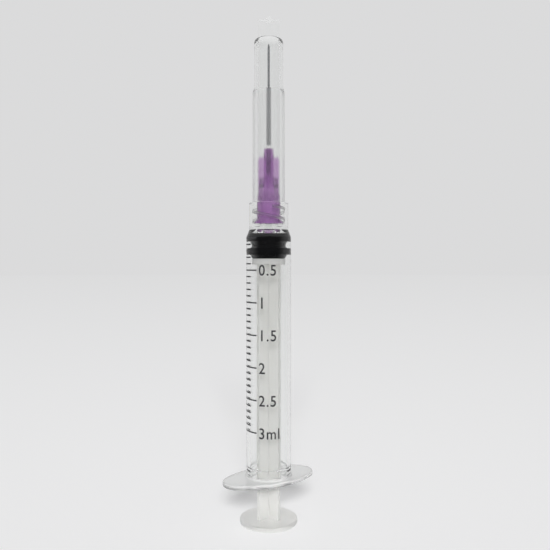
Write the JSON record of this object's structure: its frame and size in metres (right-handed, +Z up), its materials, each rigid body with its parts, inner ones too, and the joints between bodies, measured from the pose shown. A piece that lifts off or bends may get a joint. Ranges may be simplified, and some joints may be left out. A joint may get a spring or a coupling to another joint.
{
  "type": "syringe",
  "caption": "Disposable luer-lock syringe with a printed clear barrel, a cross-ribbed plunger with a rubber stopper, and a capped needle on a violet hub.",
  "frame": {"origin": "centre of the thumb press's flat underside, on which the syringe stands", "axes": "+Z up the syringe's axis to the cap's tip, +X along the finger flange, +Y completes the right-handed frame"},
  "size_m": [0.024, 0.014, 0.1216],
  "materials": {
    "clear_moulding": "clear polypropylene, gloss",
    "natural_moulding": "natural translucent polypropylene, satin",
    "black_rubber": "siliconed, gloss",
    "violet_moulding": "translucent violet polypropylene, gloss",
    "needle_steel": "drawn stainless steel",
    "adhesive": "cured clear adhesive"
  },
  "bodies": {
    "barrel": {"barrel": "clear_moulding"},
    "plunger": {"plunger_rod": "natural_moulding", "stopper": "black_rubber"},
    "needle": {"needle_hub": "violet_moulding", "needle_tube": "needle_steel", "needle_adhesive": "adhesive"},
    "cap": {"needle_cap": "clear_moulding"}
  },
  "joints": [
    {"name": "plunger_slide", "type": "slide", "parent": "barrel", "child": "plunger", "axis": [0, 0, -1], "range_m": [0, 0.05]},
    {"name": "needle_lift", "type": "slide", "parent": "barrel", "child": "needle", "axis": [0, 0, 1], "range_m": [0, 0.015]},
    {"name": "cap_pull", "type": "slide", "parent": "needle", "child": "cap", "axis": [0, 0, 1], "range_m": [0, 0.045]}
  ]
}
